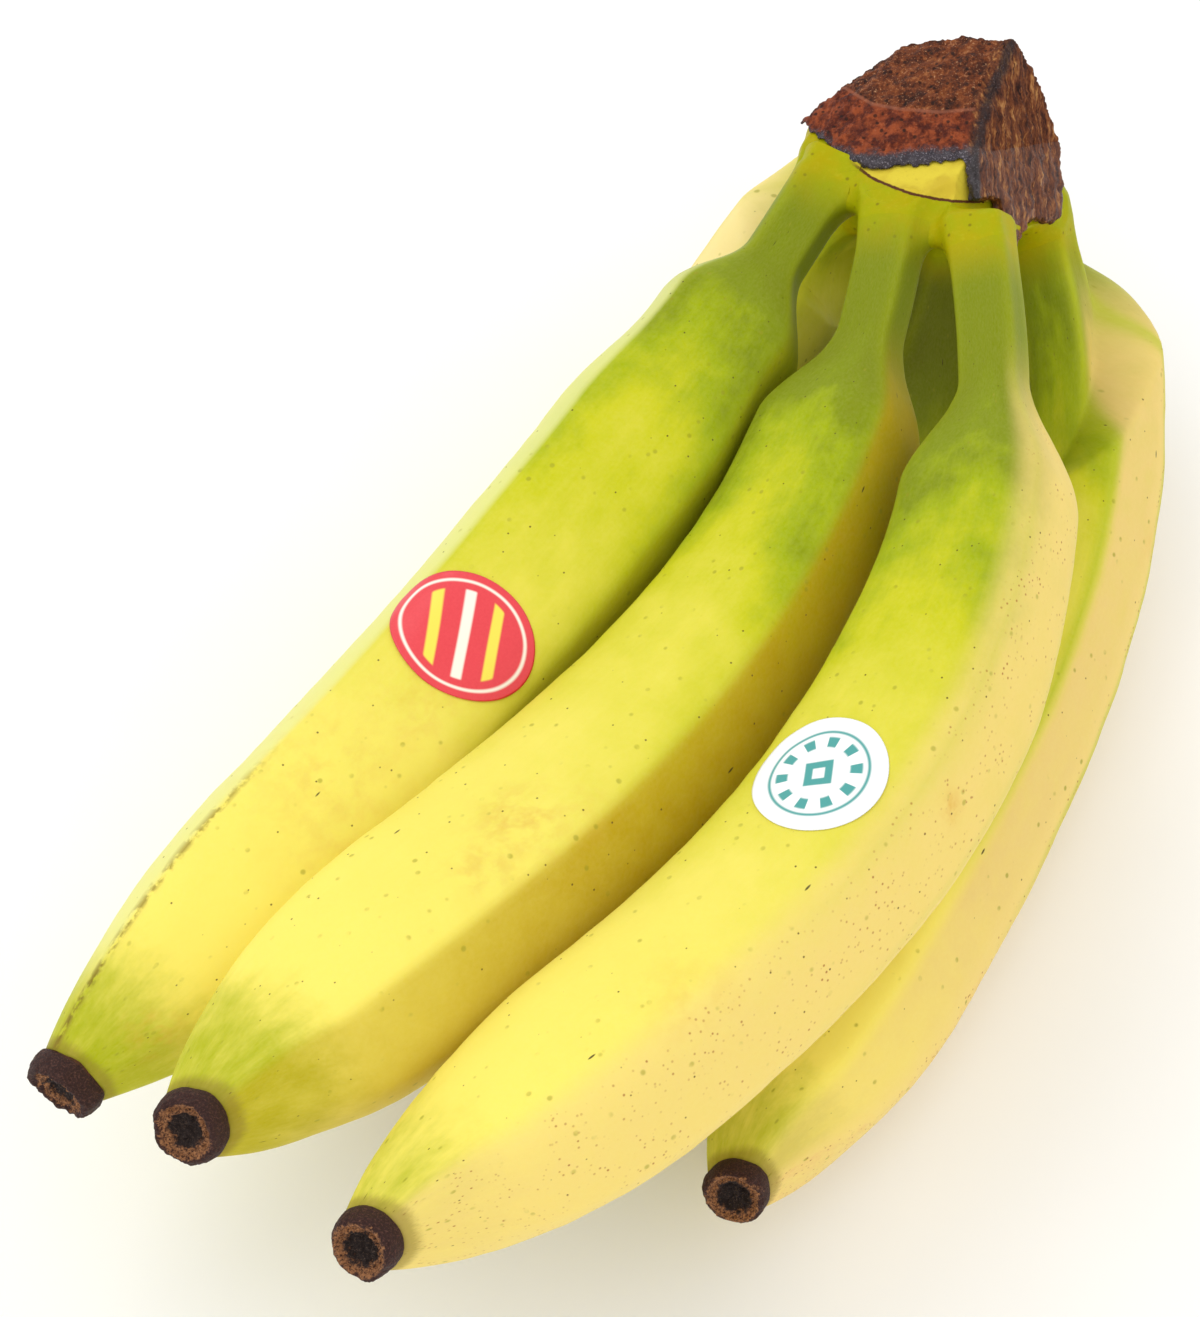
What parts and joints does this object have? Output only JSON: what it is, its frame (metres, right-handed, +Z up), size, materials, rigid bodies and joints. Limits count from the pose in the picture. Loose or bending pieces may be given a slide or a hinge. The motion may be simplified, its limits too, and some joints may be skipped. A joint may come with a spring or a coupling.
{
  "type": "bunch of bananas",
  "caption": "Bunch of curved ripe bananas in two rows on one cut crown, with dried blossom ends and plain paper stickers, lying on its lower row.",
  "frame": {"origin": "below the middle of the bunch, on the surface that it lies on", "axes": "+Z up from the surface, +Y towards the crown, +X to the right of a viewer who faces the tips"},
  "size_m": [0.1888, 0.2365, 0.0841],
  "materials": {
    "skin_front_left": "satin",
    "skin_front_middle": "satin",
    "skin_front_right": "satin",
    "skin_back_left": "satin",
    "skin_back_middle": "satin",
    "skin_back_right": "satin",
    "dried_blossom_end": "matte",
    "crown_tissue": "satin",
    "crown_dried": "matte",
    "sticker_red": "satin",
    "sticker_white": "satin"
  },
  "bodies": {
    "root": {"banana_front_left": "skin_front_left", "banana_front_middle": "skin_front_middle", "banana_front_right": "skin_front_right", "banana_back_left": "skin_back_left", "banana_back_middle": "skin_back_middle", "banana_back_right": "skin_back_right", "blossom_end_front_left": "dried_blossom_end", "blossom_end_front_middle": "dried_blossom_end", "blossom_end_front_right": "dried_blossom_end", "blossom_end_back_left": "dried_blossom_end", "blossom_end_back_middle": "dried_blossom_end", "blossom_end_back_right": "dried_blossom_end", "crown_cushion": "crown_tissue", "crown_dried_cut": "crown_dried", "sticker_red_oval": "sticker_red", "sticker_white_round": "sticker_white"}
  },
  "joints": []
}
